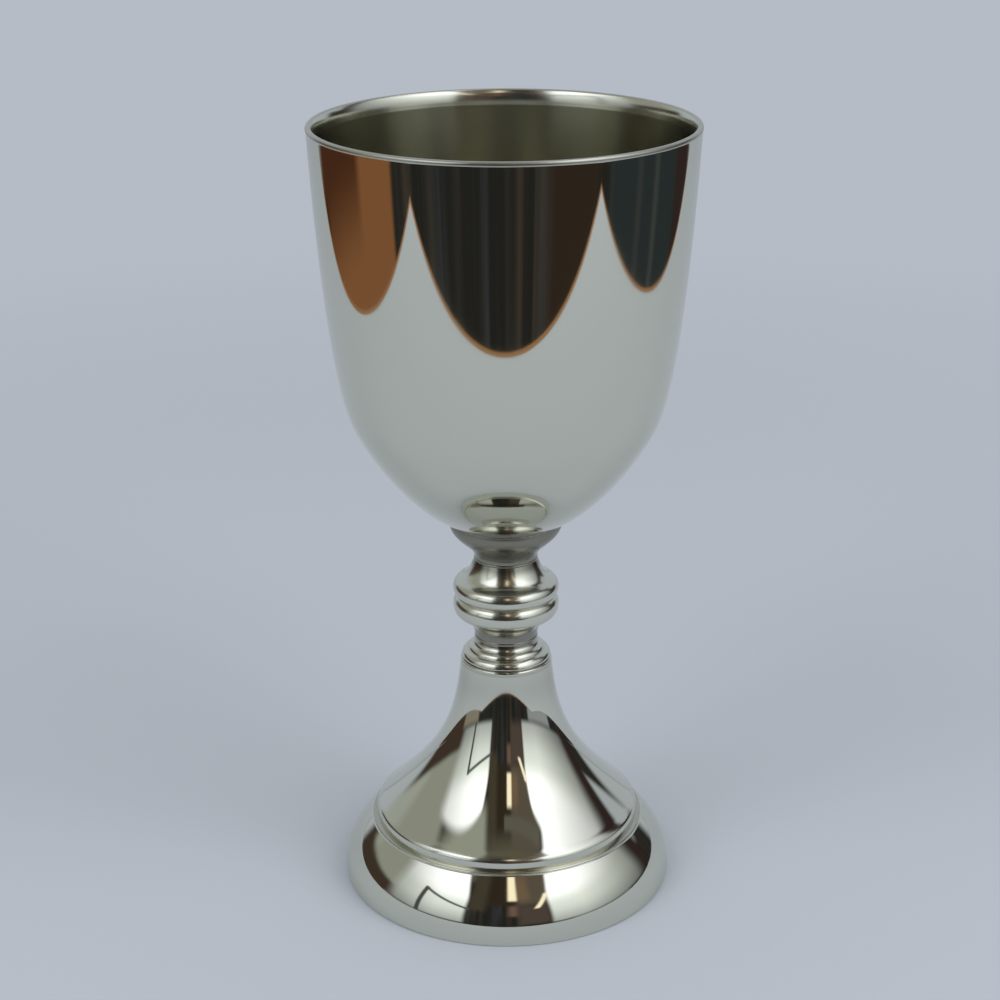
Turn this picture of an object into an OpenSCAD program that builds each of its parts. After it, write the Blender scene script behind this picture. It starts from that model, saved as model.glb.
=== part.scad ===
// Communion chalice: a spun bowl, a turned stem and a hollow foot, held together by one
// tie rod that is screwed into the boss under the bowl and drawn tight under the foot.
// Origin at the centre of the resting ring, +Z up, millimetres.

/* [Bowl] */
// Outer diameter at the lip
rim_d = 80; // [76:1:86]
// Height from the soldered floor to the top of the lip
bowl_h = 86.7; // [80:0.1:95]
// Thickness of the spun wall
bowl_wall = 1.6; // [1.4:0.1:1.8]
// Radius of the rounded lip
lip_r = 0.6; // [0.5:0.05:0.7]
// How far the lip stands out past the wall
lip_out = 0.12; // [0.08:0.02:0.2]
// Height of the bevel that opens the wall inside the lip
lip_bevel_h = 3.3; // [2.5:0.1:4]
// Diameter where the side turns towards the floor
shoulder_d = 64.8; // [63:0.1:67]
// Height of that turn above the floor
shoulder_h = 24.2; // [22:0.1:26]
// Diameter of the flat floor
floor_d = 11; // [10.8:0.1:13]

/* [Cup seat] */
// Diameter of the dished seat under the bowl
seat_d = 24.2; // [22:0.2:28]
// Height from the knop to the floor of the bowl
seat_h = 7; // [6.4:0.1:9]
// Thickness of the seat's edge
seat_edge = 0.3; // [0.2:0.05:0.5]
// Diameter of the neck above the knop
upper_neck_d = 13.6; // [13:0.1:15]

/* [Knop] */
// Largest diameter of the knop
knop_d = 23; // [21:0.5:26]
// Height of the upper half, above the groove
knop_upper_h = 8.9; // [8.5:0.1:10]
// Radius of the full bead round the upper half
knop_bead_r = 2.2; // [2:0.1:2.4]
// Height of the lower half, below the groove
knop_lower_h = 10; // [9.6:0.1:11.4]
// Radius of the lower half's shoulder
knop_shoulder_r = 2.4; // [2:0.1:2.6]
// Depth of the groove between the halves
groove_depth = 0.9; // [0.7:0.05:1.2]
// Diameter of the neck below the knop
lower_neck_d = 13.6; // [13:0.1:15]
// Height of that neck, up to where the knop swells
neck_h = 0.9; // [0.8:0.1:1.4]
// Height of the plain land at each end of the knop
land_h = 0.5; // [0.3:0.05:0.8]
// How far that land stands out past the neck
land_out = 0.1; // [0.05:0.05:0.3]
// Wall of the hollow halves
knop_wall = 1.8; // [1.4:0.1:2.2]
// Diameter of the register between the halves
register_d = 18; // [17:0.1:18.6]
// Height of that register
register_h = 1.3; // [0.8:0.1:1.8]

/* [Stem collar] */
// Height of the collar above its recess in the foot
collar_h = 5.6; // [5.4:0.1:6.2]
// Diameter of the lowest and boldest bead
low_bead_d = 19.5; // [19.2:0.1:19.6]
// Radius of that bead
low_bead_r = 1.7; // [1.6:0.05:1.8]
// Radius of the two finer beads above it
fine_bead_r = 1.4; // [1.3:0.05:1.45]
// Diameter of the collar's base, which stands in the foot
collar_base_d = 18.8; // [18:0.1:19]
// Diameter of the spigot under the knop
spigot_d = 9.6; // [9:0.1:10.4]
// Length of that spigot
spigot_h = 1.2; // [0.8:0.1:1.6]

/* [Foot shell] */
// Height from the base moulding to the throat
shell_h = 37.5; // [34:0.5:42]
// Diameter at the brim
shell_d = 58.2; // [57:0.1:59.2]
// Diameter at the throat
throat_d = 19.9; // [19.6:0.1:21]
// Depth of the recess that the collar stands in
throat_recess = 0.8; // [0.5:0.1:1.2]
// Thickness of the web across the throat
web_t = 2.5; // [2:0.1:4]
// Thickness of the shell
shell_wall = 1.5; // [1:0.1:1.7]
// Radius of the rolled brim
brim_r = 1.8; // [1.75:0.05:2.1]
// Height of the plain band under the brim
brim_band_h = 1.3; // [1.2:0.1:1.8]

/* [Foot ring] */
// Diameter of the foot
foot_d = 73; // [72:0.2:78]
// Height of the base moulding
ring_h = 14.1; // [12:0.1:17]
// Thickness of the base moulding
ring_wall = 2; // [1.4:0.1:2.6]
// Diameter of the fine fillet round the ledge
ledge_d = 60.4; // [60.2:0.1:61]
// Radius of that fillet
ledge_r = 0.35; // [0.2:0.05:0.4]
// Radius of the edge round the resting ring
foot_edge_r = 0.4; // [0.2:0.05:0.6]
// Height and thickness of the upstand that centres the shell
upstand_h = 1.2; // [0.8:0.1:1.3]
upstand_t = 1.3; // [1:0.1:2]

/* [Tie rod, washers and nut] */
// Diameter of the tie rod
rod_d = 6; // [5:0.1:6.4]
// Diameter of the boss under the bowl
boss_d = 10; // [9.4:0.1:10.6]
// How far the boss reaches into the knop
boss_reach = 1.8; // [1.2:0.1:2.2]
// Metal left above the boss's tapped hole
boss_cap = 1.5; // [1:0.1:2.5]
// Diameter of the flat washer
washer_d = 15; // [13:0.5:16]
// Thickness of the flat washer
washer_t = 1.5; // [1:0.1:2]
// Diameter of the split washer
lock_d = 11; // [10:0.1:12]
// Thickness of the split washer
lock_t = 1.5; // [1.2:0.1:2]
// Width of the split
split_w = 1.2; // [0.8:0.1:2]
// Width of the nut across its flats
nut_af = 10; // [9.5:0.1:11]
// Height of the nut
nut_h = 5; // [4:0.5:7]
// Length of rod below the nut
rod_tail = 2.2; // [1:0.1:4]

/* [Fits] */
// Radial gap of the registers
slip = 0.05; // [0.03:0.01:0.08]
// Radial gap round the rod in its bores
rod_play = 0.2; // [0.1:0.05:0.3]
// Radial gap of the screwed ends
thread_gap = 0.05; // [0.02:0.01:0.08]
// Gap left at the end of each register
end_play = 0.2; // [0.1:0.05:0.3]
// Film of solder between the bowl and its seat
solder = 0.05; // [0.03:0.01:0.1]

/* [Hidden] */
$fn = 144;

// Radii
rim_r = rim_d / 2;
floor_r = floor_d / 2;
seat_r = seat_d / 2;
knop_r = knop_d / 2;
foot_r = foot_d / 2;
shell_r = shell_d / 2;
throat_r = throat_d / 2;
collar_base_r = collar_base_d / 2;
boss_r = boss_d / 2;
rod_r = rod_d / 2;
bore_r = rod_r + rod_play;
register_r = register_d / 2;
spigot_r = spigot_d / 2;
upper_land_r = upper_neck_d / 2 + land_out;
lower_land_r = lower_neck_d / 2 + land_out;

// Heights, stacked from the resting ring upwards
throat_z = ring_h + shell_h;
collar_z = throat_z - throat_recess;
web_z = collar_z - web_t;
knop_lower_z = collar_z + collar_h;
knop_upper_z = knop_lower_z + knop_lower_h;
seat_z = knop_upper_z + knop_upper_h;
bowl_z = seat_z + seat_h;
boss_z = seat_z - boss_reach;
washer_z = web_z - washer_t;
lock_z = washer_z - lock_t;
nut_z = lock_z - nut_h;
rod_z = nut_z - rod_tail;
rod_top_z = bowl_z - boss_cap - end_play;

// Small breaks that soften the turned edges
edge_break = 0.2;
rod_chamfer = 0.6;

// Points of a smooth curve from a to b, drawn out towards a + pull_a and b + pull_b
function curve(a, pull_a, b, pull_b, n) = [
    for (i = [0:n])
        let (t = i / n, s = 1 - t)
        s * s * s * a + 3 * s * s * t * (a + pull_a) + 3 * s * t * t * (b + pull_b) + t * t * t * b
];

// Points of an arc about a centre, from one angle to another
function arc(centre, r, from, to, n = 10) = [
    for (i = [0:n])
        let (a = from + (to - from) * i / n)
        centre + r * [cos(a), sin(a)]
];

// A path's points moved by d to its right-hand side
function beside(path, d) = [
    for (i = [0:len(path) - 1])
        let (a = path[max(i - 1, 0)], b = path[min(i + 1, len(path) - 1)], u = (b - a) / norm(b - a))
        path[i] + d * [u[1], -u[0]]
];

function backwards(path) = [for (i = [len(path) - 1:-1:0]) path[i]];

function after_first(path) = [for (i = [1:len(path) - 1]) path[i]];

function last(path) = path[len(path) - 1];

// Radius of a path at height z, and height of a path at radius r
function radius_at(z, path) = lookup(z, [for (p = path) [p[1], p[0]]]);
function height_at(r, path) = lookup(r, path);

// A turned piece: its half section spun about the axis, at height z
module turned(z, section) {
    translate([0, 0, z])
        rotate_extrude()
            polygon(section);
}

// Outside of the bowl, from under the lip down to the edge of its flat floor
lip_z = bowl_h - lip_r;
lip_meets_wall = acos((lip_r - lip_out) / lip_r);
shoulder = [shoulder_d / 2, shoulder_h];
shoulder_lean = [0.43, 1];
lip_pull = [-1, -20];
side_pull = 9.7;
turn_pull = 6;
floor_pull = [12.7, 0];
side_steps = 20;
floor_steps = 26;
bowl_side = curve([rim_r - lip_out, lip_z - lip_r * sin(lip_meets_wall)], lip_pull,
    shoulder, side_pull * shoulder_lean, side_steps);
bowl_floor = curve(shoulder, -turn_pull * shoulder_lean, [floor_r, 0], floor_pull, floor_steps);
bowl_outside = concat(bowl_side, after_first(bowl_floor));

module bowl() {
    bevel_tilt = 33;
    bevel_foot_tilt = 6;
    bevel_pull = 1.1;
    lip_steps = 20;
    bevel_steps = 10;
    bevel_z = bowl_h - lip_bevel_h;
    inside = beside(bowl_outside, bowl_wall);
    lip = arc([rim_r - lip_r, lip_z], lip_r, -lip_meets_wall, 180 - bevel_tilt, lip_steps);
    bevel = curve(last(lip), -bevel_pull * [sin(bevel_tilt), cos(bevel_tilt)],
        [radius_at(bevel_z, inside), bevel_z],
        bevel_pull * [sin(bevel_foot_tilt), cos(bevel_foot_tilt)], bevel_steps);
    color("lightsteelblue")
        turned(bowl_z, concat(
            [[0, bowl_wall], [0, 0]],
            backwards(bowl_outside),
            lip,
            after_first(bevel),
            [for (p = inside) if (p[1] < bevel_z - edge_break) p]));
}

// Boss soldered under the bowl: it centres the seat and the knop, and takes the rod
module bowl_boss() {
    boss_h = bowl_z - boss_z;
    color("darkgoldenrod")
        turned(boss_z, [
            [rod_r + thread_gap, 0],
            [boss_r - edge_break, 0],
            [boss_r, edge_break],
            [boss_r, boss_h],
            [0, boss_h],
            [0, boss_h - boss_cap],
            [rod_r + thread_gap, boss_h - boss_cap]
        ]);
}

// Dished seat: its hollow follows the bowl's floor, less the film of solder
module cup_seat() {
    hole_r = boss_r + slip;
    neck_r = upper_neck_d / 2;
    neck_pull = [0.15, 2.8];
    edge_pull = [0.45, -3.55];
    seat_steps = 22;
    rim_z = seat_h + height_at(seat_r, bowl_floor) - solder;
    dish = [for (p = bowl_floor) if (p[0] > floor_r && p[0] < seat_r) p + [0, seat_h - solder]];
    color("silver")
        turned(seat_z, concat(
            [[hole_r, 0], [neck_r, 0]],
            curve([neck_r, edge_break], neck_pull, [seat_r, rim_z - seat_edge], edge_pull, seat_steps),
            [[seat_r, rim_z]],
            dish,
            [[floor_r, seat_h - solder], [hole_r, seat_h - solder]]));
}

// Upper half of the knop: a flare, then a full bead above the groove
module knop_upper() {
    bead_foot = -48;
    bead_top = 66;
    bead_lift = 0.1;
    bead_steps = 12;
    bead_z = bead_lift - knop_bead_r * sin(bead_foot);
    neck_r = upper_neck_d / 2;
    neck_pull = [0.8, -1.9];
    bead_pull = [-1.9, 0.85];
    flare_steps = 18;
    roof_break = [-0.6, 0.8];
    bead = arc([knop_r - knop_bead_r, bead_z], knop_bead_r, bead_foot, bead_top, bead_steps);
    flare = curve([neck_r, knop_upper_h - land_h], neck_pull, last(bead), bead_pull, flare_steps);
    roof_z = knop_upper_h - boss_reach - end_play - knop_wall;
    color("gainsboro")
        turned(knop_upper_z, concat(
            [[register_r + slip, 0], [knop_r - groove_depth, 0]],
            bead,
            after_first(backwards(flare)),
            [[upper_land_r, knop_upper_h - land_h + edge_break / 2],
                [upper_land_r, knop_upper_h - edge_break],
                [upper_land_r - edge_break, knop_upper_h],
                [boss_r + slip, knop_upper_h],
                [boss_r + slip, roof_z + knop_wall],
                [bore_r, roof_z + knop_wall],
                [bore_r, roof_z],
                [bore_r + knop_wall, roof_z],
                [register_r, register_h + end_play] + roof_break,
                [register_r + slip, register_h + end_play]]));
}

// Lower half of the knop, with the register above and the spigot below
module knop_lower() {
    neck_r = lower_neck_d / 2;
    neck_pull = [1.2, 5.5];
    swell_pull = [0, -4.1];
    swell_steps = 24;
    shoulder_top = 52;
    shoulder_steps = 8;
    groove_h = 0.15;
    widest_z = knop_lower_h - groove_h - knop_shoulder_r * sin(shoulder_top);
    cavity_z = 2 * knop_wall;
    cavity_r = register_r - slip - knop_wall;
    color("gainsboro")
        turned(knop_lower_z, concat(
            [[bore_r, -spigot_h],
                [spigot_r, -spigot_h],
                [spigot_r, 0],
                [lower_land_r - edge_break / 2, 0],
                [lower_land_r, edge_break / 2],
                [lower_land_r, land_h],
                [neck_r, land_h + edge_break / 2]],
            curve([neck_r, neck_h], neck_pull, [knop_r, widest_z], swell_pull, swell_steps),
            after_first(arc([knop_r - knop_shoulder_r, widest_z], knop_shoulder_r, 0, shoulder_top,
                shoulder_steps)),
            [[knop_r - groove_depth, knop_lower_h - groove_h / 2],
                [knop_r - groove_depth, knop_lower_h],
                [register_r, knop_lower_h],
                [register_r, knop_lower_h + register_h],
                [cavity_r, knop_lower_h + register_h],
                [cavity_r, cavity_z + knop_wall],
                [bore_r + knop_wall, cavity_z],
                [bore_r, cavity_z]]));
}

// A bead's arc that sets out from a given point
function bead_from(start, r, from, to) = arc(start - r * [cos(from), sin(from)], r, from, to);

// Stepped collar of three beads, standing in the throat of the foot
module stem_collar() {
    bead_lift = 0.5;
    low_bead_foot = 5;
    low_bead_top = 80;
    fine_bead_foot = 8;
    middle_bead_top = 78;
    top_bead_top = 50;
    bead_z = throat_recess + bead_lift;
    low_bead = bead_from([low_bead_d / 2, bead_z], low_bead_r, low_bead_foot, low_bead_top);
    middle_bead = bead_from(last(low_bead), fine_bead_r, fine_bead_foot, middle_bead_top);
    top_bead = bead_from(last(middle_bead), fine_bead_r, fine_bead_foot, top_bead_top);
    color("silver")
        turned(collar_z, concat(
            [[bore_r, 0],
                [collar_base_r, 0],
                [collar_base_r, throat_recess + edge_break],
                [low_bead_d / 2 - edge_break, throat_recess + edge_break]],
            low_bead,
            after_first(middle_bead),
            after_first(top_bead),
            [[lower_neck_d / 2 - edge_break, collar_h],
                [spigot_r + slip, collar_h],
                [spigot_r + slip, collar_h - spigot_h - end_play],
                [bore_r, collar_h - spigot_h - end_play]]));
}

// Trumpet-shaped foot: open below, closed by a bored web at the throat
module foot_shell() {
    brim_tilt = 48.8;
    brim_steps = 8;
    brim_pull = 18.8;
    throat_pull = [1.38, -14.7];
    flare_steps = 36;
    along_brim = [-sin(brim_tilt), cos(brim_tilt)];
    roll = arc([shell_r - brim_r, brim_band_h], brim_r, 0, brim_tilt, brim_steps);
    flare = curve(last(roll), brim_pull * along_brim, [throat_r, shell_h - edge_break], throat_pull,
        flare_steps);
    outside = concat(roll, after_first(flare));
    inside = beside(outside, -shell_wall);
    web_under = shell_h - throat_recess - web_t;
    color("lightsteelblue")
        turned(ring_h, concat(
            [[shell_r - shell_wall, 0], [shell_r, 0]],
            outside,
            [[throat_r - edge_break, shell_h],
                [collar_base_r + slip, shell_h],
                [collar_base_r + slip, shell_h - throat_recess],
                [bore_r, shell_h - throat_recess],
                [bore_r, web_under],
                [radius_at(web_under, inside), web_under]],
            backwards([for (p = inside) if (p[1] < web_under - edge_break) p])));
}

// Base moulding: a bold half round under a fine fillet, hollow beneath
module foot_ring() {
    quirk = 0.2;
    ledge_pull = [2.3, -2.6];
    foot_pull = [0, 6];
    moulding_steps = 24;
    edge_steps = 4;
    fillet_foot = -20;
    fillet_steps = 6;
    fillet_centre = [ledge_d / 2 - ledge_r, ring_h - ledge_r];
    start = fillet_centre + [ledge_r + quirk, -quirk];
    moulding = curve(start, ledge_pull, [foot_r, 2 * foot_edge_r], foot_pull, moulding_steps);
    upstand_r = shell_r - shell_wall - slip;
    color("silver")
        turned(0, concat(
            [[foot_r - ring_wall, 0]],
            arc([foot_r - foot_edge_r, foot_edge_r], foot_edge_r, -90, 0, edge_steps),
            backwards(moulding),
            arc(fillet_centre, ledge_r, fillet_foot, 90, fillet_steps),
            [[upstand_r, ring_h],
                [upstand_r, ring_h + upstand_h],
                [upstand_r - upstand_t, ring_h + upstand_h],
                [upstand_r - upstand_t, ring_h - ring_wall]],
            beside(moulding, ring_wall)));
}

module tie_rod() {
    rod_h = rod_top_z - rod_z;
    color("dimgray")
        turned(rod_z, [
            [0, 0],
            [rod_r - rod_chamfer, 0],
            [rod_r, rod_chamfer],
            [rod_r, rod_h - rod_chamfer],
            [rod_r - rod_chamfer, rod_h],
            [0, rod_h]
        ]);
}

module flat_washer() {
    color("darkgray")
        turned(washer_z, [
            [bore_r, 0],
            [washer_d / 2 - edge_break, 0],
            [washer_d / 2, edge_break],
            [washer_d / 2, washer_t],
            [bore_r, washer_t]
        ]);
}

// Spring washer, cut through on a slant
module split_washer() {
    slant = 20;
    color("slategray")
        difference() {
            turned(lock_z, [[bore_r, 0], [lock_d / 2, 0], [lock_d / 2, lock_t], [bore_r, lock_t]]);
            translate([lock_d / 2, 0, lock_z + lock_t / 2])
                rotate([slant, 0, 0])
                    cube([lock_d, split_w, 3 * lock_t], center = true);
        }
}

// Hexagon nut, both faces turned to a chamfer
module clamp_nut() {
    corner_r = nut_af / 2 / cos(30);
    chamfer_h = 0.6;
    face_r = nut_af / 2 - edge_break;
    through = 1;
    color("darkgoldenrod")
        difference() {
            intersection() {
                translate([0, 0, nut_z])
                    cylinder(h = nut_h, r = corner_r, $fn = 6);
                turned(nut_z, [
                    [0, 0],
                    [face_r, 0],
                    [corner_r + edge_break, chamfer_h],
                    [corner_r + edge_break, nut_h - chamfer_h],
                    [face_r, nut_h],
                    [0, nut_h]
                ]);
            }
            translate([0, 0, nut_z - through])
                cylinder(h = nut_h + 2 * through, r = rod_r + thread_gap);
        }
}

bowl();
bowl_boss();
cup_seat();
knop_upper();
knop_lower();
stem_collar();
foot_shell();
foot_ring();
tie_rod();
flat_washer();
split_washer();
clamp_nut();
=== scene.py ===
# %% [markdown]
# # A communion chalice in polished pewter
# The chalice is a stack of turned pieces on one tie rod: a spun bowl, a dished seat, a knop in
# two halves, a beaded collar, a trumpet foot and a base moulding. Everything is round about one
# axis, so nearly every piece can be made the way the turner makes it: draw half of its section
# and spin it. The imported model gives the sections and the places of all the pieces.

# %% The frame
import math
import bmesh
import bpy
from mathutils import Matrix, Vector


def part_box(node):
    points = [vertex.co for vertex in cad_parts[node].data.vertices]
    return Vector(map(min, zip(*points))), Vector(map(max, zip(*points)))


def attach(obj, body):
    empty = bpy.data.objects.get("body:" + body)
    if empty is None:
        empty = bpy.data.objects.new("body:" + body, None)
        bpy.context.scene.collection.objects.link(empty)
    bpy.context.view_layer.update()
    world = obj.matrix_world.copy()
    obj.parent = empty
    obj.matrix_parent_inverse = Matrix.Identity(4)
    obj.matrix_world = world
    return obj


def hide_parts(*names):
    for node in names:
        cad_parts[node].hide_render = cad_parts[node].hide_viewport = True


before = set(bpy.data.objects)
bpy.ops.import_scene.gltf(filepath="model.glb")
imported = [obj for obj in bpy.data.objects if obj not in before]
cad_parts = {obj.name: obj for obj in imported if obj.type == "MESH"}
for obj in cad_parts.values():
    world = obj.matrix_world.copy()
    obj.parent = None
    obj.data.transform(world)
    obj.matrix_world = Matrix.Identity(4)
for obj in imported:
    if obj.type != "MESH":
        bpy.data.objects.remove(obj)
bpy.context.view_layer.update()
MM = 0.001
BODY = "root"
print("pieces in the frame:", sorted(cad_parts))

# %% [markdown]
# ## Half sections
# A turned piece is known by one half section. The frame's mesh of a piece is cut by the plane
# through its axis, and the edges of the cut on the +X side are walked from end to end. Its curves
# are made of short straight steps there, which a mirror finish would show as rings, so the walk is
# drawn again with a smooth curve between its corners, and each corner gets the small radius
# that a polishing wheel leaves. No point may leave the box of the piece in the frame.

# %% Cutting a piece through its axis
ON_PLANE = 1e-6


def cut_edges(node):
    """The outline of a piece's half section, as lists of neighbours by point."""
    cut = bmesh.new()
    cut.from_mesh(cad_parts[node].data)
    bmesh.ops.remove_doubles(cut, verts=cut.verts, dist=ON_PLANE)
    made = bmesh.ops.bisect_plane(
        cut,
        geom=cut.verts[:] + cut.edges[:] + cut.faces[:],
        dist=ON_PLANE / 10,
        plane_co=(0, 0, 0),
        plane_no=(0, 1, 0),
    )
    neighbours = {}
    for edge in made["geom_cut"]:
        if not isinstance(edge, bmesh.types.BMEdge):
            continue
        ends = [(round(v.co.x, 7), round(v.co.z, 7)) for v in edge.verts]
        if min(e[0] for e in ends) > -ON_PLANE and ends[0] != ends[1]:
            for here, there in (ends, ends[::-1]):
                neighbours.setdefault(here, set()).add(there)
    cut.free()
    return neighbours


def walk(neighbours):
    """The outline's points in order, and whether the walk closes on itself."""
    ends = sorted(p for p, near in neighbours.items() if len(near) == 1)
    here = ends[0] if ends else min(neighbours)
    path, last = [here], None
    while True:
        ahead = [p for p in neighbours[here] if p != last and p != path[0]]
        if not ahead or len(path) > len(neighbours):
            break
        last, here = here, ahead[0]
        path.append(here)
    return [Vector(p) for p in path], not ends


STRAIGHT = 0.02  # degrees; a smaller turn isn't a turn


def turn_angle(a, b, c):
    """How far a path turns at b, in degrees."""
    return math.degrees((b - a).angle(c - b))


def straightened(path, closed):
    """The path without the points that lie along a straight run."""
    n = len(path)
    return [
        path[i]
        for i in range(n)
        if (not closed and i in (0, n - 1))
        or turn_angle(path[i - 1], path[i], path[(i + 1) % n]) > STRAIGHT
    ]


sample, sample_closed = walk(cut_edges("stem_collar"))
sample = straightened(sample, sample_closed)
print("collar's section:", len(sample), "points, closed:", sample_closed)

# %% Drawing the section again, smooth
CORNER = 28  # degrees; a sharper turn is kept as an edge
POLISHED_EDGE = 0.12 * MM
EDGE_SHARE = 0.4  # the most of a side that a rounded corner takes
EDGE_STEPS = 4
CURVE_STEPS = 4


def rounded_corner(before, corner, after):
    """A small curve in place of a corner."""
    back = min(POLISHED_EDGE, (before - corner).length * EDGE_SHARE)
    on = min(POLISHED_EDGE, (after - corner).length * EDGE_SHARE)
    start = corner + (before - corner).normalized() * back
    end = corner + (after - corner).normalized() * on
    return [
        start.lerp(corner, t).lerp(corner.lerp(end, t), t)
        for t in (k / EDGE_STEPS for k in range(EDGE_STEPS + 1))
    ]


def smooth_run(run):
    """A run without corners, drawn as a smooth curve through all its points."""
    if len(run) < 3:
        start, end = run
        inset = min(POLISHED_EDGE, (end - start).length / 4)
        along = (end - start).normalized() * inset
        return [start, start + along, end - along, end]
    steps = [(b - a).length for a, b in zip(run, run[1:])]
    slopes = [(b - a) / d for a, b, d in zip(run, run[1:], steps)]
    leans = [
        (slopes[i - 1] * steps[i] + slopes[i] * steps[i - 1]) / (steps[i - 1] + steps[i])
        for i in range(1, len(slopes))
    ]
    leans = [2 * slopes[0] - leans[0]] + leans + [2 * slopes[-1] - leans[-1]]
    drawn = [run[0]]
    for i, d in enumerate(steps):
        for k in range(1, CURVE_STEPS + 1):
            t = k / CURVE_STEPS
            drawn.append(
                (2 * t**3 - 3 * t**2 + 1) * run[i]
                + (t**3 - 2 * t**2 + t) * d * leans[i]
                + (3 * t**2 - 2 * t**3) * run[i + 1]
                + (t**3 - t**2) * d * leans[i + 1]
            )
    return drawn


def fine_section(node):
    """The half section of a piece, ready to spin, and whether it closes on itself."""
    path, closed = walk(cut_edges(node))
    path = straightened(path, closed)
    n = len(path)
    corners = [
        i
        for i in range(n)
        if (not closed and i in (0, n - 1))
        or turn_angle(path[i - 1], path[i], path[(i + 1) % n]) > CORNER
    ]
    first = corners[0]
    path = path[first:] + path[:first] if closed else path
    corners = [i - first for i in corners] if closed else corners
    joints = {
        i: rounded_corner(path[i - 1], path[i], path[(i + 1) % n])
        for i in corners
        if closed or i not in (0, n - 1)
    }
    section = []
    for start, end in zip(corners, corners[1:] + ([n] if closed else [])):
        run = [path[i % n] for i in range(start, end + 1)]
        if start in joints:
            run[0] = joints[start][-1]
        if end % n in joints:
            run[-1] = joints[end % n][0]
        section += smooth_run(run)
        section += joints.get(end % n, [])[1:-1] if end % n in joints else []
    low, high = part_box(node)
    within = [Vector((min(p.x, high.x), min(max(p.y, low.z), high.z))) for p in section]
    return within, closed


for name in ("bowl", "stem_collar", "foot_shell"):
    points, loop = fine_section(name)
    print(name, "section:", len(points), "points, closed:", loop)

# %% [markdown]
# ## Spinning a piece
# Spin does on the computer what the lathe does in the shop: it carries the section round the
# axis. A narrow wedge is spun first, and then it is doubled until the turn is full, which is
# much quicker than one long spin. Merging the doubles closes the seams, and gathers the points
# on the axis to a pole. The normals are then made to face outwards, and the faces are shaded
# smooth.

# %% The lathe
WEDGE_STEPS = 12
DOUBLINGS = 4
print("steps in a full turn:", WEDGE_STEPS * 2**DOUBLINGS)


def mesh_piece(name, made, *finishes):
    """A new piece from a bmesh, with its finishes in order."""
    mesh = bpy.data.meshes.new(name)
    made.to_mesh(mesh)
    made.free()
    piece = bpy.data.objects.new(name, mesh)
    bpy.context.scene.collection.objects.link(piece)
    for finish in finishes:
        mesh.materials.append(finish)
    return piece


def spin_section(section, closed, wedge_steps=WEDGE_STEPS, doublings=DOUBLINGS):
    """A bmesh of the section carried once round the axis."""
    made = bmesh.new()
    verts = [made.verts.new((p.x, 0, p.y)) for p in section]
    pairs = list(zip(verts, verts[1:] + (verts[:1] if closed else [])))
    edges = [made.edges.new(pair) for pair in pairs]
    wedge = math.tau / 2**doublings
    bmesh.ops.spin(
        made, geom=verts + edges, cent=(0, 0, 0), axis=(0, 0, 1), angle=wedge, steps=wedge_steps
    )
    for k in range(doublings):
        copy = bmesh.ops.duplicate(made, geom=made.verts[:] + made.edges[:] + made.faces[:])
        bmesh.ops.rotate(
            made,
            cent=(0, 0, 0),
            matrix=Matrix.Rotation(wedge * 2**k, 3, "Z"),
            verts=[g for g in copy["geom"] if isinstance(g, bmesh.types.BMVert)],
        )
    bmesh.ops.remove_doubles(made, verts=made.verts, dist=ON_PLANE / 10)
    bmesh.ops.recalc_face_normals(made, faces=made.faces)
    for face in made.faces:
        face.smooth = True
    return made


def faces_inwards(face):
    """True on a hollow's side of a wall: towards the axis, or flat across it."""
    middle = face.calc_center_median()
    outwards = Vector((middle.x, middle.y, 0))
    return face.normal.dot(outwards.normalized()) < 0


def turned_piece(name, node, finishes, which=faces_inwards):
    """A piece spun from a node's section, which it then stands for."""
    section, closed = fine_section(node)
    made = spin_section(section, closed)
    if len(finishes) > 1:
        for face in made.faces:
            face.material_index = int(which(face))
    piece = mesh_piece(name, made, *finishes)
    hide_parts(node)
    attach(piece, BODY)
    print(name, len(section), "points in section,", len(piece.data.polygons), "faces")
    return piece


# %% [markdown]
# ## A bench for finishes
# A finish is a tree of shader nodes. Written out node by node it is long, so a socket is wrapped
# in a small class: sums on it add Math nodes, and one method makes every other node.

# %% The bench
class Wire:
    """A socket on a bench. Arithmetic on it adds Math nodes."""

    def __init__(self, bench, socket):
        self.bench, self.socket = bench, socket

    def maths(self, operation, *values):
        return self.bench.node("ShaderNodeMath", {"operation": operation}, dict(enumerate(values)))

    def __add__(self, other):
        return self.maths("ADD", self, other)

    __radd__ = __add__

    def __sub__(self, other):
        return self.maths("SUBTRACT", self, other)

    def __rsub__(self, other):
        return self.maths("SUBTRACT", other, self)

    def __mul__(self, other):
        return self.maths("MULTIPLY", self, other)

    __rmul__ = __mul__

    def __truediv__(self, other):
        return self.maths("DIVIDE", self, other)

    def __pow__(self, other):
        return self.maths("POWER", self, other)

    def bigger(self, other):
        return self.maths("MAXIMUM", self, other)

    def smaller(self, other):
        return self.maths("MINIMUM", self, other)

    def size(self):
        return self.maths("ABSOLUTE", self)


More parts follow.
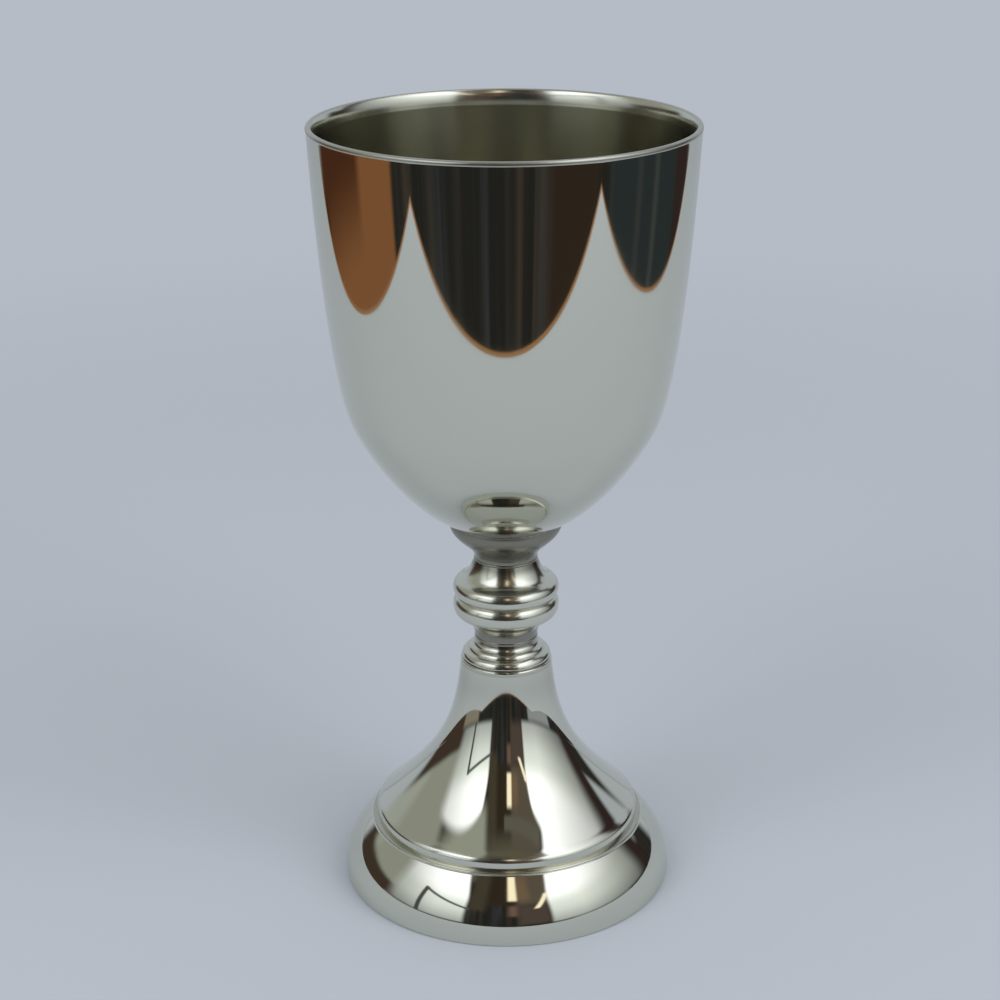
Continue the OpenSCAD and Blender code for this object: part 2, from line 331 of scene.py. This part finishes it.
class Bench:
    """The node tree of one finish, with the nodes added one call at a time."""

    def __init__(self, tree):
        self.tree = tree
        tree.nodes.clear()

    def node(self, kind, settings=None, values=None, out=0):
        made = self.tree.nodes.new(kind)
        for key, value in (settings or {}).items():
            setattr(made, key, value)
        for key, value in (values or {}).items():
            if isinstance(value, Wire):
                self.tree.links.new(value.socket, made.inputs[key])
            else:
                made.inputs[key].default_value = value
        return Wire(self, made.outputs[out]) if len(made.outputs) else made

    def parts(self, vector):
        """A vector's x, y and z."""
        split = self.node("ShaderNodeSeparateXYZ", values={0: vector})
        return [Wire(self, s) for s in split.socket.node.outputs]

    def place(self):
        """Where a point lies on the object, as x, y and z."""
        return self.parts(self.node("ShaderNodeTexCoord", out=3))

    def vector(self, x, y, z):
        return self.node("ShaderNodeCombineXYZ", values={0: x, 1: y, 2: z})

    def ramp(self, value, low, high, start=0.0, end=1.0):
        """Goes softly from start to end while value goes from low to high."""
        return self.node(
            "ShaderNodeMapRange",
            {"interpolation_type": "SMOOTHSTEP"},
            {0: value, 1: low, 2: high, 3: start, 4: end},
        )

    def band(self, value, low, high, soft):
        """1 between low and high, and 0 outside, with soft edges."""
        rise = self.ramp(value, low - soft, low + soft)
        return rise * self.ramp(value, high - soft, high + soft, 1.0, 0.0)

    def noise(self, where, scale, detail=2.0, rough=0.5):
        return self.node(
            "ShaderNodeTexNoise",
            values={"Vector": where, "Scale": scale, "Detail": detail, "Roughness": rough},
        )

    def mix(self, mask, first, second):
        colours = {0: mask, 6: rgba(first), 7: rgba(second)}
        return self.node("ShaderNodeMix", {"data_type": "RGBA"}, colours, out=2)


def rgba(colour):
    return colour if isinstance(colour, Wire) else (*colour, 1.0)


print("a bench makes one tree at a time")

# %% [markdown]
# ## Polished pewter
# Pewter polished on the wheel and wiped with a cloth is a mirror that is not quite perfect. Its
# colour is a little yellower than silver. The wheel leaves very fine rings round the piece, and
# the cloth leaves patches that are a little softer. A trace of polish stays in the corners where
# the pieces meet, so the metal is darker there. The two necks and the throat of the foot get a
# painted shade: their colour is mixed towards a darker one.
# All of it is read from the place on the object, so one recipe makes every polished finish: a
# mirror for the bowl and foot, a softer shine for the small turned pieces, a duller one in a
# painted shade colour for the seat's side and underside, and a duller one for the worn lip.

# %% The metals
PEWTER = (0.71, 0.71, 0.615)
PEWTER_CORNER = (0.40, 0.385, 0.31)
PEWTER_SHADED = (0.29, 0.28, 0.235)
PEWTER_LIP = (0.56, 0.555, 0.48)
PEWTER_SATIN = (0.50, 0.485, 0.375)
PEWTER_SPUN = (0.50, 0.49, 0.40)
BRASS = (0.78, 0.58, 0.27)
STEEL = (0.50, 0.49, 0.47)

JOINTS = [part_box(n)[0].z for n in ("foot_shell", "stem_collar", "knop_upper", "cup_seat")]
# the necks and the throat of the foot: where shade is painted into the colour
NECKS = ((73.4 * MM, 76.6 * MM), (55.9 * MM, 59.7 * MM))
THROAT = (44 * MM, 50.5 * MM)
BRIM = (14.0 * MM, 17.0 * MM)
DISH = (81.0 * MM, 89.0 * MM)
JOINT_HALF = 0.15 * MM
print("joints at mm:", [round(z / MM, 1) for z in JOINTS])


def metal(name, colour, rough, anisotropic=0.0, turned=0.0):
    """A new metal finish: its material, bench and shader node."""
    material = bpy.data.materials.new(name)
    material.use_nodes = True
    bench = Bench(material.node_tree)
    settings = {
        "Base Color": rgba(colour),
        "Metallic": 1.0,
        "Roughness": rough,
        "Anisotropic": anisotropic,
        "Anisotropic Rotation": turned,
    }
    return material, bench, settings


def finish_with(bench, settings):
    shader = bench.node("ShaderNodeBsdfPrincipled", values=settings)
    bench.node("ShaderNodeOutputMaterial", values={0: shader})


def rings(bench, spacing):
    """Fine rings round the axis, as a lathe or a polishing wheel leaves them."""
    x, y, z = bench.place()
    radius = (x * x + y * y) ** 0.5
    drift = bench.noise(bench.vector(x, y, z), 60.0) * 0.3
    return bench.noise(
        bench.vector(radius / spacing + drift, x * 8.0, z / spacing), 1.0, 3.0, 0.6
    )


def wiped(bench, scale):
    """Soft patches where a cloth has gone over the metal."""
    x, y, z = bench.place()
    return bench.noise(bench.vector(x, y, z * 0.5), scale, 3.0, 0.55)


def polished_pewter(name, smooth, worn, marks, colour=PEWTER):
    """Polished metal: its roughness goes from smooth to worn, with marks of the wheel."""
    material, bench, settings = metal(name, colour, smooth)
    x, y, z = bench.place()
    corner = 0.0
    for height in JOINTS:
        corner = bench.band(z, height - JOINT_HALF, height + JOINT_HALF, 2 * JOINT_HALF) + corner
    corner = corner.smaller(1.0) * (wiped(bench, 300.0) * 0.5 + 0.45)
    neck = sum(bench.band(z, low, high, 0.9 * MM) for low, high in NECKS)
    throat = bench.band(z, *THROAT, 4 * MM)
    brim = bench.band(z, *BRIM, 0.8 * MM)
    dish = bench.band(z, *DISH, 4 * MM)
    # painted shade: the necks, and the throat of the foot a little, are mixed towards the shade
    # colour
    painted_shade = bench.mix(neck.smaller(1.0) * 0.95 + throat * 0.2, colour, PEWTER_SHADED)
    settings["Base Color"] = bench.mix(corner, painted_shade, PEWTER_CORNER)
    settings["Roughness"] = (
        bench.ramp(wiped(bench, 90.0), 0.3, 0.75, smooth, worn)
        + rings(bench, 0.25 * MM) * marks
        + corner * 0.15
        + brim * 0.12
        + dish * 0.10
    )
    settings["Normal"] = bench.node(
        "ShaderNodeBump",
        values={"Strength": marks * 5.0, "Distance": 0.004 * MM, "Height": rings(bench, 0.35 * MM)},
    )
    finish_with(bench, settings)
    return material


MIRROR = polished_pewter("mirror_pewter", 0.025, 0.05, 0.008)
POLISHED = polished_pewter("polished_pewter", 0.14, 0.20, 0.03)
# painted shade: a darker colour for the seat's side and underside, under the bowl
SHADED = polished_pewter("shaded_pewter", 0.18, 0.26, 0.03, PEWTER_SHADED)
LIP = polished_pewter("lip_pewter", 0.26, 0.34, 0.03, PEWTER_LIP)

# %% [markdown]
# ## Satin pewter
# Inside the bowl the metal is left as the spinning tool and a fine abrasive left it: satin, with
# rings that draw every reflection out into a soft upright streak. The shader's own anisotropy
# does that, turned a quarter so that the streaks stand across the rings.

# %% The satin finishes
def satin_pewter(name, colour, rough, ring, depth):
    material, bench, settings = metal(name, colour, rough, anisotropic=0.8, turned=0.25)
    lines = rings(bench, ring)
    patches = wiped(bench, 70.0)
    settings["Base Color"] = bench.mix(
        bench.ramp(lines, 0.3, 0.7) * 0.35 + patches * 0.3,
        colour,
        tuple(c * 0.78 for c in colour),
    )
    settings["Roughness"] = bench.ramp(patches, 0.3, 0.7, rough * 0.88, rough * 1.12) + lines * 0.05
    settings["Normal"] = bench.node(
        "ShaderNodeBump", values={"Strength": 0.3, "Distance": depth, "Height": lines}
    )
    finish_with(bench, settings)
    return material


SATIN = satin_pewter("satin_bowl_inside", PEWTER_SATIN, 0.18, 0.30 * MM, 0.003 * MM)
UNDERSIDE = satin_pewter("spun_underside", PEWTER_SPUN, 0.36, 0.55 * MM, 0.02 * MM)
print("finishes:", MIRROR.name, POLISHED.name, SATIN.name, UNDERSIDE.name)

# %% [markdown]
# ## The bowl
# The bowl is spun from a disc over a former, then planished and polished outside. The section
# keeps its wall, its rounded lip and the bevel inside the lip. The wall outside is a mirror, the
# hollow is satin, the bevel is polished, and the lip itself is worn duller by use.

# %% Bowl
BEVEL_FOOT = 165.7 * MM
LIP_LINE = 168.0 * MM
BEVEL_TILT = 0.57  # how far up the bevel's faces look
FLAT = 0.99


def part_of_bowl(face):
    """The finish of a face: 0 outside, 1 in the hollow, 2 on the bevel, 3 on the lip."""
    height = face.calc_center_median().z
    if height > LIP_LINE and not (faces_inwards(face) and face.normal.z < BEVEL_TILT):
        return 3
    if faces_inwards(face) or face.normal.z > FLAT:
        return 2 if height > BEVEL_FOOT else 1
    return 0


turned_piece("bowl_spun", "bowl", [MIRROR, SATIN, POLISHED, LIP], part_of_bowl)

# %% [markdown]
# ## Seat, knop and collar
# These are turned from the solid. The knop is hollow, in two halves with a groove between them
# where they meet, and the collar is three beads one above another. All are polished, but the
# seat's side and underside are rougher and take a darker colour, painted as the shade under the
# bowl.

# %% Stem pieces
SEAT_EDGE_TILT = 0.3


def faces_down(face):
    """True on the seat's side and underside."""
    return face.normal.z < SEAT_EDGE_TILT


# the seat's side and underside take the shaded finish: rougher, with painted shade
turned_piece("seat_turned", "cup_seat", [POLISHED, SHADED], faces_down)
turned_piece("knop_top_half", "knop_upper", [POLISHED])
turned_piece("knop_bottom_half", "knop_lower", [POLISHED])
turned_piece("collar_beaded", "stem_collar", [POLISHED])

# %% [markdown]
# ## The foot
# The trumpet and the moulding under it are hollow. Outside they are polished like the bowl.
# Beneath, where only the shelf sees them, the marks of the tool are left.

# %% Foot pieces
turned_piece("foot_trumpet", "foot_shell", [MIRROR, UNDERSIDE])
turned_piece("foot_moulding", "foot_ring", [MIRROR, UNDERSIDE])

# %% [markdown]
# ## Rod, washers, nut and boss
# The tie rod is a length of screwed steel. A thread is a ridge that climbs one pitch in each
# turn, so the rod is spun with many fine rings, and each point then moves in or out by where
# it stands on the climbing wave. The ends keep their chamfer.

# %% Steel and brass
def plain_metal(name, colour, rough, scale):
    material, bench, settings = metal(name, colour, rough)
    marks = rings(bench, scale)
    patches = wiped(bench, 220.0)
    settings["Base Color"] = bench.mix(patches * 0.6, colour, tuple(c * 0.62 for c in colour))
    settings["Roughness"] = bench.ramp(patches, 0.3, 0.7, rough, rough * 1.5) + marks * 0.06
    settings["Normal"] = bench.node(
        "ShaderNodeBump", values={"Strength": 0.3, "Distance": 0.01 * MM, "Height": marks}
    )
    finish_with(bench, settings)
    return material


BRASS_TURNED = plain_metal("turned_brass", BRASS, 0.24, 0.20 * MM)
STEEL_PLAIN = plain_metal("plain_steel", STEEL, 0.30, 0.15 * MM)
for node_name, metal_finish in (
    ("bowl_boss", BRASS_TURNED),
    ("clamp_nut", BRASS_TURNED),
    ("flat_washer", STEEL_PLAIN),
    ("split_washer", STEEL_PLAIN),
):
    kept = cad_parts[node_name]
    for kept_slot in kept.material_slots:
        kept_slot.material = metal_finish
print("kept as they are:", "bowl_boss, clamp_nut, flat_washer, split_washer")

# %% Tie rod
PITCH = 1.0 * MM
THREAD_DEPTH = 0.55 * MM
ROD_WEDGE_STEPS, ROD_DOUBLINGS = 6, 3
RINGS_PER_PITCH = 10
rod_low, rod_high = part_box("tie_rod")
rod_radius = rod_high.x
rod_rings = round((rod_high.z - rod_low.z) / PITCH * RINGS_PER_PITCH)
rod_side = [
    Vector((rod_radius, rod_low.z + (rod_high.z - rod_low.z) * k / rod_rings))
    for k in range(rod_rings + 1)
]
rod = spin_section(
    [Vector((0, rod_low.z))] + rod_side + [Vector((0, rod_high.z))],
    closed=False,
    wedge_steps=ROD_WEDGE_STEPS,
    doublings=ROD_DOUBLINGS,
)
for vert in rod.verts:
    radius = vert.co.xy.length
    if radius < ON_PLANE:
        continue
    turns = vert.co.z / PITCH - math.atan2(vert.co.y, vert.co.x) / math.tau
    from_end = min(vert.co.z - rod_low.z, rod_high.z - vert.co.z)
    wave = 0.5 - 0.5 * math.cos(math.tau * turns)
    crest = min(radius, rod_radius - THREAD_DEPTH + from_end)
    vert.co.xy *= min(crest, radius - THREAD_DEPTH * wave) / radius
bmesh.ops.recalc_face_normals(rod, faces=rod.faces)
rod_piece = mesh_piece("tie_rod_screwed", rod, STEEL_PLAIN)
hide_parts("tie_rod")
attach(rod_piece, BODY)
print("rod:", rod_rings, "rings,", len(rod_piece.data.polygons), "faces")

# %% [markdown]
# ## The studio
# A mirror shows the room, so the room is part of the look. The chalice stands on a sheet of
# pale paper that sweeps up behind it. The sheet is narrower than the table, and past its
# edges the bowl sees warm wood on the left and the dark room in front and on the right. Two
# tall soft panels stand in front, one on each side, with a dark gap and a lamp between them.
# The world paints that room for glossy rays alone. The camera sees plain pale paper everywhere,
# and the floor fades into it some way off. Under the foot the floor is open to glossy rays, so
# that the hollow foot isn't black when it is looked at from beneath.

# %% Floor
PAPER = (0.460, 0.500, 0.558)
EDGE_STRIP = (0.30, 0.16, 0.075)
SHEET_LEFT, SHEET_RIGHT, SHEET_FRONT = -0.3515, 0.383, -0.268
STRIP_WIDTH = 7 * MM
FLOOR_SIZE = 6.0
FLOOR_FADE = (0.26, 0.62)
OPEN_UNDER = 34 * MM


def paper_floor():
    material = bpy.data.materials.new("paper_floor")
    material.use_nodes = True
    bench = Bench(material.node_tree)
    x, y, z = bench.place()
    camera = bench.node("ShaderNodeLightPath", out=0)
    glossy = bench.node("ShaderNodeLightPath", out=3)
    beneath = bench.node("ShaderNodeNewGeometry", out=6)

    def inside(grown):
        """1 on the sheet, grown by some width; its edges bow out a little."""
        left = SHEET_LEFT - grown - y * y * 0.76
        right = SHEET_RIGHT + grown + y * y * 0.69
        front = SHEET_FRONT - grown - x * x * 0.18
        return (
            bench.ramp(x - left, 0.0, 1 * MM)
            * bench.ramp(right - x, 0.0, 1 * MM)
            * bench.ramp(y - front, 0.0, 1 * MM)
        )

    edged = bench.mix(inside(0.0), EDGE_STRIP, PAPER)
    paper = bench.node("ShaderNodeBsdfDiffuse", values={"Color": bench.mix(glossy, PAPER, edged)})
    clear = bench.node("ShaderNodeBsdfTransparent")
    radius = (x * x + y * y) ** 0.5
    far = bench.ramp(radius, *FLOOR_FADE)
    under = bench.ramp(radius, OPEN_UNDER, OPEN_UNDER + 1 * MM, 1.0, 0.0)
    unseen = (1.0 - inside(STRIP_WIDTH)).bigger(under)
    hidden = (glossy * unseen).bigger(camera * far.bigger(beneath))
    shader = bench.node("ShaderNodeMixShader", values={0: hidden, 1: paper, 2: clear})
    bench.node("ShaderNodeOutputMaterial", values={0: shader})
    return material


floor_mesh = bmesh.new()
bmesh.ops.create_grid(floor_mesh, x_segments=2, y_segments=2, size=FLOOR_SIZE / 2)
floor = mesh_piece("paper", floor_mesh, paper_floor())
print("floor:", FLOOR_SIZE, "m across")

# %% The room that the metal sees
PANEL = (1.66, 1.70, 1.84)
PANEL_FOOT = (0.44, 0.475, 0.50)
PANEL_MIDDLE = (1.04, 1.11, 1.12)
LAMP = (1.35, 1.20, 0.92)
DARK_WALL = (0.034, 0.022, 0.021)
CEILING = (0.125, 0.115, 0.085)
BELOW = (0.30, 0.32, 0.35)
FILL = (0.62, 0.62, 0.62)
DEGREES = math.degrees(1)


def room_world():
    world = bpy.data.worlds.new("room")
    bpy.context.scene.world = world
    world.use_nodes = True
    bench = Bench(world.node_tree)
    way = bench.node("ShaderNodeTexCoord", out=0)
    x, y, z = bench.parts(way)
    bearing = x.maths("ARCTAN2", x, y * -1.0) * DEGREES
    up = z.maths("ARCSINE", z) * DEGREES
    side = bearing.size()

    def patch(under, left, right, low, high, soft, colour, lean=0.0, tilt=0.0):
        """Paints one rectangle of the room, which may lean or tilt."""
        across = bearing + (up - low) * lean if lean else bearing
        height = up - (bearing - left) * tilt if tilt else up
        mask = bench.band(across, left, right, soft) * bench.band(height, low, high, soft)
        return bench.mix(mask, under, colour)

    def panel(under, left, right, middle, fade, height):
        """A tall soft panel, paler below and away from its middle."""
        bow = (up - 30.0).bigger(0.0) ** 2.0 * 0.014
        top = height - (bearing - middle) ** 2.0 * 0.0105
        across = bench.ramp(side - bow, left, left + 4.0)
        across = across * bench.ramp(side, right - 6.0, right + 6.0, 1.0, 0.0)
        mask = across * bench.ramp(up, -1.0, 3.0) * bench.ramp(up - top, -3.0, 1.0, 1.0, 0.0)
        colour = bench.mix(bench.ramp(up, -6.0, 30.0), PANEL_FOOT, PANEL_MIDDLE)
        colour = bench.mix(bench.ramp(up, 25.0, 42.0), colour, PANEL)
        dim = 1.0 - (side - fade).bigger(0.0) * 0.013
        colour = bench.node(
            "ShaderNodeVectorMath", {"operation": "SCALE"}, {0: colour, "Scale": dim}
        )
        which = bench.ramp(bearing * (1.0 if middle > 0 else -1.0), 0.0, 1.0)
        return bench.mix(mask * which, under, colour)

    # the dark end of the room: brownish, with faint upright shapes
    shapes = bench.noise(bench.vector(bearing * 0.16, 3.0, up * 0.012), 1.0, 2.0, 0.5)
    tones = bench.noise(bench.vector(bearing * 0.07, 8.0, up * 0.02), 1.0, 1.0, 0.5)
    pale = bench.mix(bench.ramp(tones, 0.4, 0.6), (0.044, 0.047, 0.053), (0.060, 0.048, 0.036))
    room = bench.mix(bench.ramp(shapes, 0.40, 0.75), (0.019, 0.019, 0.018), pale)
    room = patch(room, 26, 57, -45, -5, 5.0, (0.034, 0.023, 0.017))
    room = patch(room, 64, 118, -45, -5, 5.0, (0.026, 0.034, 0.037))
    room = patch(room, 98, 101, -45, -5, 2.5, (0.060, 0.066, 0.066))
    room = patch(room, 84, 87, -45, -5, 2.5, (0.046, 0.050, 0.052))
    room = patch(room, -28, 30, 30, 66, 4.0, (0.036, 0.026, 0.018))
    room = patch(room, -29, -16, 22, 64, 4.0, (0.069, 0.056, 0.040))
    room = patch(room, 7, 45, 30, 66, 4.0, (0.120, 0.098, 0.076))
    room = patch(room, 8, 18, 36, 53, 4.0, (0.200, 0.130, 0.085))
    room = patch(room, 1, 8, 16, 30, 3.0, (0.190, 0.120, 0.095))
    room = patch(room, 8, 30, 2, 30, 4.0, (0.090, 0.068, 0.058))
    # the table and what stands beyond the sheet, below the horizon
    room = patch(room, -128, -69, -45, -11.5, 1.5, (0.245, 0.105, 0.045))
    room = patch(room, -136, -94, -17.5, -7, 3.0, (0.072, 0.027, 0.013))
    # ceiling and walls
    room = patch(room, -180, 180, 64, 95, 4.0, CEILING)
    room = patch(room, -130, -31, 51, 80, 5.0, (0.36, 0.38, 0.33))
    room = patch(room, 50, 118, 52, 76, 3.0, PANEL)
    room = patch(room, -140, -84, 12, 60, 4.0, (0.33, 0.345, 0.305))
    room = patch(room, -145, -120, 12, 60, 5.0, (0.40, 0.43, 0.41))
    room = patch(room, -133, -80, -9, 11, 3.0, (0.060, 0.040, 0.030))
    room = patch(room, -92, -60, -8, 0, 2.5, (0.27, 0.24, 0.20))
    room = patch(room, 46, 92, -8, 0, 2.5, (0.32, 0.34, 0.37))
    room = patch(room, 119, 137, -45, -2, 2.5, DARK_WALL)
    room = patch(room, 108, 121, -2, 38, 2.5, DARK_WALL)
    room = patch(room, 121, 140, 15, 46, 2.5, PAPER)
    room = patch(room, 108, 129, 33, 38.5, 2.0, DARK_WALL)
    # the panels, and a beam across the foot of the gap
    room = panel(room, 28, 87, -52, 52, 56.0)
    room = panel(room, 29, 109, 62, 56, 59.3)
    room = patch(room, -4, 46, 57.2, 62, 1.2, (0.135, 0.125, 0.105))
    # a stand in front of the left panel, with its arm
    room = patch(room, -65.3, -62.0, 0, 31.5, 0.8, (0.07, 0.08, 0.09))
    room = patch(room, -64, -27, 29.4, 31.8, 1.0, (0.10, 0.11, 0.12), tilt=-0.23)
    # the lamp, and a warm glint beside it
    room = patch(room, 0.5, 7.5, 36, 54, 1.5, LAMP)
    room = patch(room, 19.5, 23.5, 25, 40, 1.2, LAMP, lean=-0.68)
    # straight below, which only the hollow foot sees
    room = patch(room, -180, 180, -95, -45, 6.0, BELOW)
    # the paper sweeping up behind
    backdrop = bench.ramp(side, 131, 139)
    room = bench.mix(backdrop, room, PAPER)

    path = [bench.node("ShaderNodeLightPath", out=k) for k in (0, 3)]
    seen = bench.mix(path[1], FILL, room)
    seen = bench.mix(path[0], seen, PAPER)
    shade = bench.node("ShaderNodeBackground", values={0: seen, 1: 1.0})
    bench.node("ShaderNodeOutputWorld", values={0: shade})


room_world()
AIM = Vector((0, 0, 0.08))


def soft_panel(name, place, size, power):
    """A square lamp that looks at the middle of the chalice and that metal does not show."""
    lamp = bpy.data.lights.new(name, "AREA")
    lamp.shape = "RECTANGLE"
    lamp.size, lamp.size_y = size
    lamp.energy = power
    holder = bpy.data.objects.new(name, lamp)
    holder.location = place
    holder.rotation_euler = (AIM - Vector(place)).to_track_quat("-Z", "Y").to_euler()
    holder.visible_glossy = False
    holder.visible_camera = False
    bpy.context.scene.collection.objects.link(holder)


soft_panel("panel_left", (-0.95, -0.80, 1.00), (0.9, 1.2), 8.5)
soft_panel("panel_right", (1.05, -0.70, 1.05), (1.1, 1.2), 11.4)
print("lamps:", 2)

# %% [markdown]
# ## The camera
# A long lens from a little above the rim, looking down at about twenty degrees, so that the
# inside of the bowl just shows. It leans a quarter of a degree, as a hand-held camera does.

# %% Camera
CAMERA_PLACE = (0, -0.4288, 0.2486)
CAMERA_DOWN = 20.55
CAMERA_ASIDE = 0.16
CAMERA_ROLL = -0.27
lens = bpy.data.cameras.new("studio_camera")
lens.sensor_width = 36.0
lens.lens = 76.95
lens.clip_start, lens.clip_end = 0.01, 20.0
studio_camera = bpy.data.objects.new("studio_camera", lens)
studio_camera.matrix_world = (
    Matrix.Translation(CAMERA_PLACE)
    @ Matrix.Rotation(math.radians(CAMERA_ASIDE), 4, "Z")
    @ Matrix.Rotation(math.radians(90 - CAMERA_DOWN), 4, "X")
    @ Matrix.Rotation(math.radians(CAMERA_ROLL), 4, "Z")
)
bpy.context.scene.collection.objects.link(studio_camera)
bpy.context.scene.camera = studio_camera
bpy.context.scene.view_settings.view_transform = "Standard"
print("camera at", CAMERA_PLACE)
